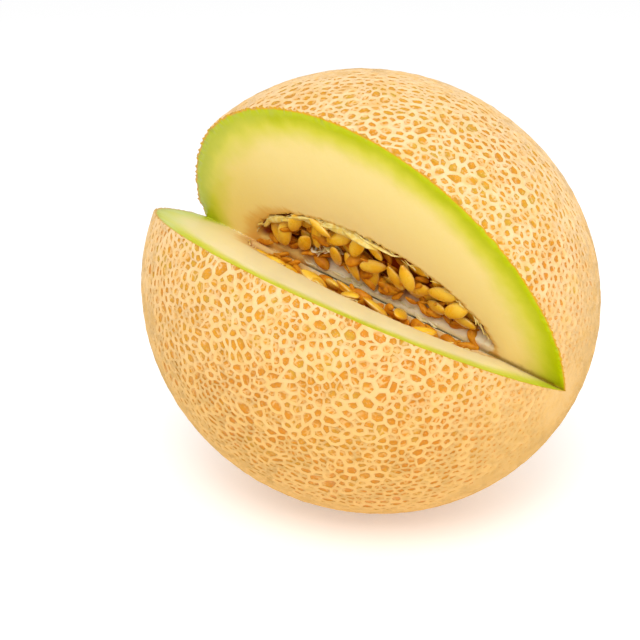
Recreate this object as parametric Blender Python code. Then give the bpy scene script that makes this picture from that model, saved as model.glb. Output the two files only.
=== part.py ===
"""A netted cantaloupe melon with one wedge cut out of it, lying on its side.

Part frame: metres, +Z up. The origin is the middle of the small flat spot that the fruit rests
on. Seen from above, the core runs along X with the blossom end at +X, and the wedge opens
towards -Y. Rind, flesh and seed bed grew as one piece, so they are one body. Each seed that
the wedge lays bare is a piece of its own.

The fruit is modelled in the core frame, whose X axis is the core and whose origin is the
middle of the fruit. The empty "melon_pose" tips that frame so that the blossom end dips.
"""
import math
import random

import bmesh
import bpy
from mathutils import Euler, Matrix, Vector
from mathutils.bvhtree import BVHTree

# Overall size
FRUIT_LENGTH = 0.160
FRUIT_WIDTH = 0.150
FRUIT_SIDES = 52
FRUIT_RINGS = 26
CORE_TILT = math.radians(11.0)
REST_SPOT_RADIUS = 0.018

# Wedge, with its two faces as angles above level round the core, measured from -Y
WEDGE_LOW_ANGLE = math.radians(22.0)
WEDGE_HIGH_ANGLE = math.radians(63.0)
WEDGE_EDGE_DROP = 0.0013

# Seed cavity, which the wedge opens as one shallow hollow in each cut face
CAVITY_LENGTH = 0.106
CAVITY_WIDTH = 0.059
CAVITY_SHIFT = 0.001
CAVITY_SIDES = 40
CAVITY_RINGS = 20
HOLLOW_DEPTH = 0.0070
CORE_BAND = 0.0040

# Slit that the knife left behind the wedge's edge
SLIT_WIDTH = 0.0009
SLIT_DEPTH = 0.0070
SLIT_LENGTH = 0.086

# Seeds
SEED_LENGTH = 0.0112
SEED_WIDTH = 0.0056
SEED_THICKNESS = 0.0030
SEED_TAPER = 0.30
SEED_SIDES = 10
SEED_RINGS = 7
SEED_SPREAD = 0.07
SEED_TRIES = 6000
SEEDS_HIGH_FACE = 36
SEEDS_LOW_FACE = 20
SEED_TURN = math.radians(90.0)
SEED_PITCH = math.radians(20.0)
SEED_ROLL = math.radians(24.0)
SEED_LEVELS = 8
SEED_LEVEL_STEP = 0.0008
SEED_RISE = 0.0022

# Fits
PIECE_GAP = 0.0003
CUT_OVERRUN = 0.0010
REACH = 2.0 * max(FRUIT_LENGTH, FRUIT_WIDTH)
RANDOM_SEED = 42


def clear_scene():
    """Remove every object, so that the part starts from an empty scene."""
    for item in list(bpy.data.objects):
        bpy.data.objects.remove(item, do_unlink=True)


def make_material(name, colour, roughness):
    """A Principled BSDF material of one plain colour."""
    material = bpy.data.materials.new(name)
    material.use_nodes = True
    shader = material.node_tree.nodes["Principled BSDF"]
    shader.inputs["Base Color"].default_value = (*colour, 1.0)
    shader.inputs["Roughness"].default_value = roughness
    shader.inputs["Metallic"].default_value = 0.0
    return material


def add_object(name, mesh, parent=None, material=None):
    """Link a new object for the mesh, under the parent and in the material."""
    item = bpy.data.objects.new(name, mesh)
    bpy.context.scene.collection.objects.link(item)
    item.parent = parent
    if material is not None:
        mesh.materials.append(material)
    return item


def mark_as_cutter(item):
    """Show the object as a wire cutter that is not part of the fruit."""
    item.hide_render = True
    item.display_type = "WIRE"


def mesh_from(name, build):
    """A new mesh holding what build(bm) makes, with its faces pointing out."""
    bm = bmesh.new()
    build(bm)
    bmesh.ops.recalc_face_normals(bm, faces=bm.faces)
    mesh = bpy.data.meshes.new(name)
    bm.to_mesh(mesh)
    bm.free()
    return mesh


def ellipsoid_mesh(name, length, width, sides, rings):
    """An ellipsoid of revolution about X, with its poles on the core."""
    def build(bm):
        bmesh.ops.create_uvsphere(bm, u_segments=sides, v_segments=rings, radius=0.5)
        turn = Matrix.Rotation(math.radians(90.0), 4, "Y")
        stretch = Matrix.Diagonal((length, width, width, 1.0))
        bmesh.ops.transform(bm, matrix=stretch @ turn, verts=bm.verts)
    mesh = mesh_from(name, build)
    mesh.shade_smooth()
    return mesh


def block_mesh(name, low, high, placing):
    """A box between two corners, moved by the placing matrix."""
    def build(bm):
        bmesh.ops.create_cube(bm, size=1.0)
        sides = [high[axis] - low[axis] for axis in range(3)]
        middle = [(high[axis] + low[axis]) / 2.0 for axis in range(3)]
        box = Matrix.Translation(middle) @ Matrix.Diagonal((*sides, 1.0))
        bmesh.ops.transform(bm, matrix=placing @ box, verts=bm.verts)
    return mesh_from(name, build)


def wedge_mesh(name):
    """The wedge as a prism with its sharp edge along the core."""
    def build(bm):
        ends = []
        for along in (-REACH, REACH):
            edge = Vector((along, 0.0, -WEDGE_EDGE_DROP))
            corners = [edge]
            for angle in (WEDGE_LOW_ANGLE, WEDGE_HIGH_ANGLE):
                corners.append(edge + REACH * outward_direction(angle))
            ends.append([bm.verts.new(corner) for corner in corners])
        bm.faces.new(ends[0])
        bm.faces.new(ends[1])
        for index in range(3):
            after = (index + 1) % 3
            bm.faces.new((ends[0][index], ends[0][after], ends[1][after], ends[1][index]))
    return mesh_from(name, build)


def outward_direction(angle):
    """Unit vector from the core towards the skin, at an angle above level on the front."""
    return Vector((0.0, -math.cos(angle), math.sin(angle)))


def face_frame(angle, along):
    """Frame of one cut face: X along the core, Y from the core to the skin, Z out of the flesh.

    Along is 1 for the high face and -1 for the low face, which turns Z out of the flesh on each.
    """
    x_axis = Vector((along, 0.0, 0.0))
    y_axis = outward_direction(angle)
    z_axis = x_axis.cross(y_axis)
    frame = Matrix((x_axis, y_axis, z_axis)).transposed().to_4x4()
    frame.translation = (0.0, 0.0, -WEDGE_EDGE_DROP)
    return frame


def cut(target, cutter, operation="DIFFERENCE"):
    """Add an exact Boolean modifier to the target."""
    modifier = target.modifiers.new(cutter.name, "BOOLEAN")
    modifier.object = cutter
    modifier.operation = operation
    modifier.solver = "EXACT"


def resting_place():
    """Where the middle of the fruit stands when the tipped fruit's flat spot lies at the origin."""
    half_length = FRUIT_LENGTH / 2.0
    half_width = FRUIT_WIDTH / 2.0
    sine = math.sin(CORE_TILT)
    cosine = math.cos(CORE_TILT)
    half_height = math.hypot(half_length * sine, half_width * cosine)
    lowest_x = (half_length ** 2 - half_width ** 2) * sine * cosine / half_height
    spot_depth = half_width - math.sqrt(half_width ** 2 - REST_SPOT_RADIUS ** 2)
    return Vector((-lowest_x, 0.0, half_height - spot_depth))


def make_body(pose, material):
    """Rind, flesh and seed bed: an ellipsoid with the wedge, two hollows and the knife slit cut."""
    mesh = ellipsoid_mesh("melon_body", FRUIT_LENGTH, FRUIT_WIDTH, FRUIT_SIDES, FRUIT_RINGS)
    body = add_object("melon_body", mesh, pose, material)

    floor = block_mesh("floor_cutter", (-REACH, -REACH, -REACH), (REACH, REACH, 0.0), Matrix())
    floor_cutter = add_object("floor_cutter", floor)
    mark_as_cutter(floor_cutter)
    cut(body, floor_cutter)

    wedge_cutter = add_object("wedge_cutter", wedge_mesh("wedge_cutter"), pose)
    mark_as_cutter(wedge_cutter)
    cut(body, wedge_cutter)

    for name, angle, along in (
        ("high_hollow_cutter", WEDGE_HIGH_ANGLE, 1),
        ("low_hollow_cutter", WEDGE_LOW_ANGLE, -1),
    ):
        low = (-REACH, CORE_BAND, -HOLLOW_DEPTH)
        high = (REACH, REACH, CUT_OVERRUN)
        slab_mesh = block_mesh(name + "_slab", low, high, face_frame(angle, along))
        slab = add_object(name + "_slab", slab_mesh, pose)
        mark_as_cutter(slab)
        cavity = ellipsoid_mesh(name, CAVITY_LENGTH, CAVITY_WIDTH, CAVITY_SIDES, CAVITY_RINGS)
        hollow = add_object(name, cavity, pose)
        hollow.location = (CAVITY_SHIFT, 0.0, 0.0)
        mark_as_cutter(hollow)
        cut(hollow, slab, "INTERSECT")
        cut(body, hollow)

    middle_angle = (WEDGE_LOW_ANGLE + WEDGE_HIGH_ANGLE) / 2.0
    slit_low = (CAVITY_SHIFT - SLIT_LENGTH / 2.0, -SLIT_DEPTH, -SLIT_WIDTH / 2.0)
    slit_high = (CAVITY_SHIFT + SLIT_LENGTH / 2.0, CORE_BAND, SLIT_WIDTH / 2.0)
    slit = block_mesh("knife_slit_cutter", slit_low, slit_high, face_frame(middle_angle, 1))
    slit_cutter = add_object("knife_slit_cutter", slit, pose)
    mark_as_cutter(slit_cutter)
    cut(body, slit_cutter)
    return body


def seed_mesh(name, size, grow=0.0):
    """A flat teardrop seed along X, pointed at +X. Grow adds to each of its three sizes."""
    def build(bm):
        bmesh.ops.create_uvsphere(bm, u_segments=SEED_SIDES, v_segments=SEED_RINGS, radius=0.5)
        turn = Matrix.Rotation(math.radians(90.0), 4, "Y")
        bmesh.ops.transform(bm, matrix=turn, verts=bm.verts)
        sizes = [side * size + grow for side in (SEED_LENGTH, SEED_WIDTH, SEED_THICKNESS)]
        for vert in bm.verts:
            narrowing = 1.0 - SEED_TAPER * 2.0 * vert.co.x * (vert.co.x > 0.0)
            vert.co.x *= sizes[0]
            vert.co.y *= sizes[1] * narrowing
            vert.co.z *= sizes[2] * narrowing
    mesh = mesh_from(name, build)
    mesh.shade_smooth()
    return mesh


def is_clear_of_flesh(point, frame, other_frame):
    """True if a point of the core frame lies free in the face's hollow or just above it."""
    local = frame.inverted() @ point
    other = other_frame.inverted() @ point
    if other.z < PIECE_GAP or local.z > SEED_RISE:
        return False
    if local.z < PIECE_GAP - HOLLOW_DEPTH:
        return False
    if local.z < PIECE_GAP and local.y < CORE_BAND + PIECE_GAP:
        return False
    half_length = CAVITY_LENGTH / 2.0 - 2.0 * PIECE_GAP
    half_width = CAVITY_WIDTH / 2.0 - 2.0 * PIECE_GAP
    along = (point.x - CAVITY_SHIFT) / half_length
    across = math.hypot(point.y, point.z) / half_width
    return along ** 2 + across ** 2 < 1.0


class SeedPlacer:
    """Drops seeds one by one into the hollows, each clear of the flesh and of earlier seeds."""

    def __init__(self, pose, material):
        self.pose = pose
        self.material = material
        self.random = random.Random(RANDOM_SEED)
        self.taken = []
        self.count = 0

    def draw_attitude(self):
        """A turn within the face, with a slight pitch and roll."""
        draw = self.random.uniform
        turn = draw(-SEED_TURN, SEED_TURN) + math.pi * self.random.randint(0, 1)
        return Euler((draw(-SEED_ROLL, SEED_ROLL), draw(-SEED_PITCH, SEED_PITCH), turn))

    def collides(self, place, tree):
        """True if the grown seed at this place meets one that is already down."""
        for other_place, other_tree in self.taken:
            if (other_place - place).length < 1.2 * SEED_LENGTH and tree.overlap(other_tree):
                return True
        return False

    def try_once(self, frame, other_frame, size, grown):
        """The first free level over one random spot of a hollow, as a matrix, or None."""
        along = self.random.uniform(-0.5, 0.5) * CAVITY_LENGTH
        outward = self.random.uniform(CORE_BAND / 2.0, CAVITY_WIDTH / 2.0)
        attitude = self.draw_attitude().to_matrix().to_4x4()
        bed = SEED_THICKNESS * size / 2.0 + PIECE_GAP - HOLLOW_DEPTH
        polygons = [tuple(face.vertices) for face in grown.polygons]
        for level in range(SEED_LEVELS):
            height = bed + level * SEED_LEVEL_STEP
            placing = frame @ Matrix.Translation((along, outward, height)) @ attitude
            points = [placing @ vert.co for vert in grown.vertices]
            if not all(is_clear_of_flesh(point, frame, other_frame) for point in points):
                continue
            tree = BVHTree.FromPolygons(points, polygons)
            if self.collides(placing.translation, tree):
                continue
            self.taken.append((placing.translation, tree))
            return placing
        return None

    def fill(self, frame, other_frame, wanted):
        """Place up to the wanted number of seeds over one cut face."""
        placed = 0
        for _ in range(SEED_TRIES):
            if placed == wanted:
                return
            size = 1.0 + self.random.uniform(-SEED_SPREAD, SEED_SPREAD)
            grown = seed_mesh("grown_seed", size, PIECE_GAP)
            placing = self.try_once(frame, other_frame, size, grown)
            bpy.data.meshes.remove(grown)
            if placing is None:
                continue
            placed += 1
            self.count += 1
            name = "seed_%02d" % self.count
            seed = add_object(name, seed_mesh(name, size), self.pose, self.material)
            seed.matrix_local = placing


def main():
    """Build the fruit and its loose seeds."""
    clear_scene()
    flesh = make_material("melon_rind_and_flesh", (0.80, 0.50, 0.14), 0.6)
    seed_coat = make_material("seed_coat", (0.78, 0.42, 0.05), 0.3)

    pose = bpy.data.objects.new("melon_pose", None)
    bpy.context.scene.collection.objects.link(pose)
    pose.location = resting_place()
    pose.rotation_euler = (0.0, CORE_TILT, 0.0)

    make_body(pose, flesh)

    high = face_frame(WEDGE_HIGH_ANGLE, 1)
    low = face_frame(WEDGE_LOW_ANGLE, -1)
    placer = SeedPlacer(pose, seed_coat)
    placer.fill(high, low, SEEDS_HIGH_FACE)
    placer.fill(low, high, SEEDS_LOW_FACE)


main()
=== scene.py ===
"""Visual model of a netted cantaloupe melon with one wedge cut out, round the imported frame.

The rind's net grows in Geometry Nodes. The cut faces, with the seed hollows, are filled in
behind it, so that rind, flesh and seed bed are one closed mesh, as they grew. The seeds are
pieces of their own.
"""

import math
import random

import bmesh
import bpy
import numpy as np
from mathutils import Matrix, Vector, geometry, noise


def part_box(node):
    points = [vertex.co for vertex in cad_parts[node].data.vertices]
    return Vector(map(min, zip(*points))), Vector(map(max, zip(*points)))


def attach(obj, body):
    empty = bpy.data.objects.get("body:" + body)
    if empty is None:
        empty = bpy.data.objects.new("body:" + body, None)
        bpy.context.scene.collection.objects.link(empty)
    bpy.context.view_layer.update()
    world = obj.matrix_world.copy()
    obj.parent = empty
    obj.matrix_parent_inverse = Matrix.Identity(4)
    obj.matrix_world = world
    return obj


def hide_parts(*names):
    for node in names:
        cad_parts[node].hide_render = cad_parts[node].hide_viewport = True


bl_info = {
    "name": "Netted melon",
    "version": (1, 0, 0),
    "blender": (4, 5, 0),
    "location": "View3D > Sidebar > Melon",
    "description": "Finishes a netted melon with a cut-out wedge, its seeds and a studio",
    "category": "Object",
}

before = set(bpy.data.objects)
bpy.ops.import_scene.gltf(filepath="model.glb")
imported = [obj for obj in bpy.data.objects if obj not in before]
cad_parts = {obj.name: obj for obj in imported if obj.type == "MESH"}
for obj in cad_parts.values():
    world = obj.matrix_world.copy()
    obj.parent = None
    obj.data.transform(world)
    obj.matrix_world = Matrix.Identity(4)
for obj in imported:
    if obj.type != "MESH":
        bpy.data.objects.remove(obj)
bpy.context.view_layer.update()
BODY = "root"
MM = 0.001
WELD = 0.002 * MM
BODY_LOW, BODY_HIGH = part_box("melon_body")


def linear(code):
    """A linear RGBA colour from an sRGB hex value such as F0BE50."""
    channels = [int(code[start:start + 2], 16) / 255.0 for start in (0, 2, 4)]
    low = [value / 12.92 for value in channels]
    high = [((value + 0.055) / 1.055) ** 2.4 for value in channels]
    picked = [a if value <= 0.04045 else b for value, a, b in zip(channels, low, high)]
    return (*picked, 1.0)


def add_node(tree, kind, inputs=None, **settings):
    """Add a node with its settings, and set or link its inputs by name or number."""
    node = tree.nodes.new(kind)
    for name, value in settings.items():
        setattr(node, name, value)
    for key, value in (inputs or {}).items():
        if isinstance(value, bpy.types.NodeSocket):
            tree.links.new(value, node.inputs[key])
        else:
            node.inputs[key].default_value = value
    return node


def length_property(name, description, default):
    """A length that the sidebar shows in scene units."""
    return bpy.props.FloatProperty(
        name=name, description=description, default=default, min=0.0, unit="LENGTH", precision=5
    )


def angle_property(name, description, degrees):
    """An angle, given in degrees."""
    return bpy.props.FloatProperty(
        name=name, description=description, default=math.radians(degrees), subtype="ANGLE"
    )


def colour_property(name, description, code):
    """A colour, given as an sRGB hex value."""
    return bpy.props.FloatVectorProperty(
        name=name, description=description, default=linear(code), size=4, subtype="COLOR",
        min=0.0, max=1.0,
    )


class MelonShape(bpy.types.PropertyGroup):
    """Sizes of the fruit, its wedge and its seed cavity."""

    fruit_length: length_property("Fruit length", "Stem end to blossom end", 0.160)
    fruit_width: length_property("Fruit width", "Across the middle", BODY_HIGH[1] - BODY_LOW[1])
    core_tilt: angle_property("Core tilt", "How far the blossom end dips", 11.0)
    rest_spot_radius: length_property("Resting spot", "Radius of the flat spot below", 0.018)
    wedge_low_angle: angle_property("Low cut face", "Angle above level, from the front", 22.0)
    wedge_high_angle: angle_property("High cut face", "Angle above level, from the front", 63.0)
    wedge_edge_drop: length_property("Wedge edge drop", "Edge of the wedge under the core", 0.0013)
    cavity_length: length_property("Cavity length", "Seed cavity along the core", 0.106)
    cavity_width: length_property("Cavity width", "Seed cavity across the core", 0.059)
    cavity_shift: length_property("Cavity shift", "Cavity towards the blossom end", 0.001)
    hollow_depth: length_property("Hollow depth", "Seed hollow under each cut face", 0.0070)
    core_band: length_property("Core band", "Pale tissue from the knife slit outwards", 0.0040)
    slit_depth: length_property("Slit depth", "Knife slit behind the wedge's edge", 0.0070)
    slit_length: length_property("Slit length", "Knife slit along the core", 0.086)


class MelonNetting(bpy.types.PropertyGroup):
    """Sizes of the corky net on the rind."""

    closest_cells: length_property("Closest cells", "Least distance of cell middles", 0.00198)
    share_kept: bpy.props.FloatProperty(
        name="Share kept", description="Share of the cells kept over most of the rind",
        default=0.72, min=0.0, max=1.0, subtype="FACTOR",
    )
    large_cell: length_property("Large cell", "Width of a cell whose ridges have flat tops", 0.0031)
    ridge_width: length_property("Ridge width", "Half of a flat-topped ridge's top", 0.00028)
    slope_width: length_property("Slope width", "From a ridge's top down to the skin", 0.00060)
    ridge_height: length_property("Ridge height", "Above the mean surface", 0.00036)
    skin_depth: length_property("Skin depth", "Below the mean surface", 0.00030)
    blossom_patch: length_property("Blossom patch", "Reach of the corky end", 0.040)
    random_seed: bpy.props.IntProperty(
        name="Random seed", description="Draws another net", default=7, min=0
    )


class MelonColours(bpy.types.PropertyGroup):
    """Colours of the fruit."""

    cork: colour_property("Cork", "Tops of the net's ridges", "F4D09C")
    cork_shade: colour_property("Cork, darker", "Patches of the ridges", "EDBC70")
    # Painted shade and bounce light: the cork turns browner and the skin a darker orange towards the
    # ground.
    cork_low: colour_property("Cork, lower side", "Browner cork towards the ground", "DFB060")
    skin_low: colour_property("Skin, lower side", "Riper skin towards the ground", "CC7C08")
    skin: colour_property("Skin", "Ripe skin between the ridges", "DD991A")
    skin_ripe: colour_property("Skin, riper", "Orange patches of the skin", "D5850C")
    skin_pale: colour_property("Skin, paler", "Less ripe patches of the skin", "D0A62C")
    # Painted shade in the crease at each ridge's foot, over the skin's own olive there.
    skin_foot: colour_property("Skin at the ridges", "Olive skin beside the ridges", "94700F")
    scar: colour_property("Stem scar", "Dry cork where the stem was", "A87B45")
    green: colour_property("Green flesh", "Flesh just under the rind", "B6BE00")
    green_pale: colour_property("Yellow-green flesh", "Flesh past the green", "D8D340")
    flesh: colour_property("Flesh", "Pale flesh", "FAE39E")
    flesh_inner: colour_property("Inner flesh", "Flesh beside the cavity", "FAE2A4")
    # Painted light: the low cut face faces up, so its flesh and its green rim are painted paler than the
    # high face's.
    upward: colour_property("Low face", "Paler flesh of the low cut face", "FFF3CC")
    green_upward: colour_property("Low face, green", "Green rim of the low cut face", "DCE64A")
    # Painted shade and reflected light: the flesh turns a deeper yellow towards the stem end.
    golden: colour_property("Golden flesh", "Flesh towards the stem end", "E2C52E")
    stain: colour_property("Stained flesh", "Rim of the cavity", "E2A830")
    # The tissue's own red-brown, deepened with painted shade where it lies low in the hollow between the
    # seeds.
    bed: colour_property("Seed bed", "Wet tissue between the seeds", "A23C02")
    # Painted shade: a dark olive line in the crease along the wedge's edge.
    seam: colour_property("Seam", "Stained flesh at the wedge's edge", "94700C")
    # Painted shade: near-black down the walls of the narrow knife slit.
    slit: colour_property("Knife slit", "Depth of the knife slit", "2A1A08")
    core: colour_property("Core tissue", "Pale tissue at the core", "FFF2CC")
    seed: colour_property("Seed coat", "Wet seed coat", "FCC224")
    seed_pale: colour_property("Seed coat, paler", "Seed coat in the light", "FFD34A")
    seed_tip: colour_property("Seed tip", "Darker seed ends", "E09C10")
    seed_edge: colour_property("Seed edge", "Thin pale edge of a seed", "F9CC7C")
    pulp: colour_property("Seed pulp", "Wet amber pulp between the seeds", "E39A1A")
    pulp_dark: colour_property("Seed pulp, darker", "Deeper parts of the pulp", "CE7E0C")
    fibre: colour_property("Fibres", "Torn fibres round the cavity", "F4E096")
    fibre_tip: colour_property("Fibre ends", "Stained parts of the fibres", "EBC65C")


class MelonStudio(bpy.types.PropertyGroup):
    """Camera and light."""

    camera_turn: angle_property("Camera turn", "From the front towards the blossom end", 39.2)
    camera_rise: angle_property("Camera rise", "Above level", 20.0)
    camera_distance: length_property("Camera distance", "To the middle of the fruit", 0.4171)
    side_step: length_property("Side step", "Camera left of the fruit's middle", 0.01638)
    down_step: length_property("Down step", "Camera below the fruit's middle", 0.01010)
    lens: bpy.props.FloatProperty(
        name="Lens", description="Focal length on a 36 mm wide sensor", default=67.5,
        min=1.0, unit="CAMERA",
    )
    floor_radius: length_property("Floor radius", "Radius of the round studio floor", 9.0)
    key_power: bpy.props.FloatProperty(
        name="Key power", description="Power of the light above the camera", default=6.4,
        min=0.0, unit="POWER",
    )
    front_power: bpy.props.FloatProperty(
        name="Front power", description="Power of the light beside the camera", default=1.3,
        min=0.0, unit="POWER",
    )
    world_light: bpy.props.FloatProperty(
        name="World light", description="Strength of the light all round", default=0.74, min=0.0
    )


# Places in the fruit


def outward_direction(angle):
    """Unit vector from the core towards the skin, at an angle above level on the front."""
    return Vector((0.0, -math.cos(angle), math.sin(angle)))


def face_frame(shape, angle, along):
    """Frame of one cut face in the core frame: X along the core, Y to the skin, Z out."""
    x_axis = Vector((along, 0.0, 0.0))
    y_axis = outward_direction(angle)
    z_axis = x_axis.cross(y_axis)
    placing = Matrix((x_axis, y_axis, z_axis)).transposed().to_4x4()
    placing.translation = (0.0, 0.0, -shape.wedge_edge_drop)
    return placing


def core_frame(shape):
    """The tipped frame of the fruit: X along the core, origin at the fruit's middle."""
    half_length = shape.fruit_length / 2.0
    half_width = shape.fruit_width / 2.0
    sine = math.sin(shape.core_tilt)
    cosine = math.cos(shape.core_tilt)
    half_height = math.hypot(half_length * sine, half_width * cosine)
    lowest_x = (half_length ** 2 - half_width ** 2) * sine * cosine / half_height
    spot_depth = half_width - math.sqrt(half_width ** 2 - shape.rest_spot_radius ** 2)
    middle = Matrix.Translation((-lowest_x, 0.0, half_height - spot_depth))
    return middle @ Matrix.Rotation(shape.core_tilt, 4, "Y")


def smooth_step(low, high, value):
    """0 below low, 1 above high and a smooth rise between."""
    share = min(max((value - low) / (high - low), 0.0), 1.0)
    return share * share * (3.0 - 2.0 * share)


# Meshes


def plain_mesh(item):
    """The evaluated mesh of an object, as a mesh of its own, with the object removed."""
    graph = bpy.context.evaluated_depsgraph_get()
    mesh = bpy.data.meshes.new_from_object(item.evaluated_get(graph), depsgraph=graph)
    old = item.data
    bpy.data.objects.remove(item, do_unlink=True)
    if old is not None and old.users == 0:
        bpy.data.meshes.remove(old)
    return mesh


def add_piece(name, mesh, slot, *nodes):
    """Link a finished piece, hang it on what it rides on, and hide the nodes it stands for. The slot is
    not used.
    """
    mesh.name = name
    piece = bpy.data.objects.new(name, mesh)
    bpy.context.scene.collection.objects.link(piece)
    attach(piece, BODY)
    if nodes:
        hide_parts(*nodes)
    return piece


def grown_mesh(name, tree, values):
    """Run a node tree on an empty mesh with the given named inputs, as a plain mesh."""
    holder = bpy.data.objects.new(name, bpy.data.meshes.new(name))
    bpy.context.scene.collection.objects.link(holder)
    modifier = holder.modifiers.new(name, "NODES")
    modifier.node_group = tree
    for item in tree.interface.items_tree:
        if item.item_type == "SOCKET" and item.in_out == "INPUT" and item.name in values:
            modifier[item.identifier] = values[item.name]
    holder.update_tag()
    bpy.context.view_layer.update()
    return plain_mesh(holder)


def add_input(tree, name, kind):
    """Add a named input to a node tree's interface."""
    return tree.interface.new_socket(name=name, in_out="INPUT", socket_type=kind)


# The net


def project_to_fruit(tree, geometry_socket, semi_axes):
    """Move points along their own direction on to the fruit's ellipsoid."""
    position = add_node(tree, "GeometryNodeInputPosition").outputs[0]
    share = add_node(
        tree, "ShaderNodeVectorMath", {0: position, 1: semi_axes}, operation="DIVIDE"
    ).outputs[0]
    size = add_node(tree, "ShaderNodeVectorMath", {0: share}, operation="LENGTH").outputs["Value"]
    inverse = add_node(tree, "ShaderNodeMath", {0: 1.0, 1: size}, operation="DIVIDE").outputs[0]
    moved = add_node(
        tree, "ShaderNodeVectorMath", {0: position, "Scale": inverse}, operation="SCALE"
    ).outputs[0]
    return add_node(
        tree, "GeometryNodeSetPosition", {"Geometry": geometry_socket, "Position": moved}
    ).outputs[0]


def inset_faces(tree, mesh_socket, selection, inset, level):
    """Inset each selected face by a width, and store the net's level on its new points.

    Gives the mesh, and the faces that can be inset again.
    """
    extrude = add_node(
        tree, "GeometryNodeExtrudeMesh",
        {"Mesh": mesh_socket, "Offset Scale": 0.0, "Individual": True}, mode="FACES",
    )
    if selection is not None:
        tree.links.new(selection, extrude.inputs["Selection"])
    area = add_node(tree, "GeometryNodeInputMeshFaceArea").outputs[0]
    spread = add_node(tree, "ShaderNodeMath", {0: area, 1: math.pi}, operation="DIVIDE").outputs[0]
    reach = add_node(tree, "ShaderNodeMath", {0: spread}, operation="SQRT").outputs[0]
    share = add_node(tree, "ShaderNodeMath", {0: inset, 1: reach}, operation="DIVIDE").outputs[0]
    left = add_node(tree, "ShaderNodeMath", {0: 1.0, 1: share}, operation="SUBTRACT").outputs[0]
    held = add_node(tree, "ShaderNodeMath", {0: left, 1: 0.30}, operation="MAXIMUM").outputs[0]
    scaled = add_node(
        tree, "GeometryNodeScaleElements",
        {"Geometry": extrude.outputs["Mesh"], "Selection": extrude.outputs["Top"], "Scale": held},
        domain="FACE",
    ).outputs[0]
    stored = add_node(
        tree, "GeometryNodeStoreNamedAttribute",
        {"Geometry": scaled, "Selection": extrude.outputs["Top"], "Name": "net", "Value": level},
        data_type="FLOAT", domain="POINT",
    ).outputs[0]
    rest = add_node(
        tree, "FunctionNodeBooleanMath", {0: extrude.outputs["Side"]}, operation="NOT"
    ).outputs[0]
    return stored, rest


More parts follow.
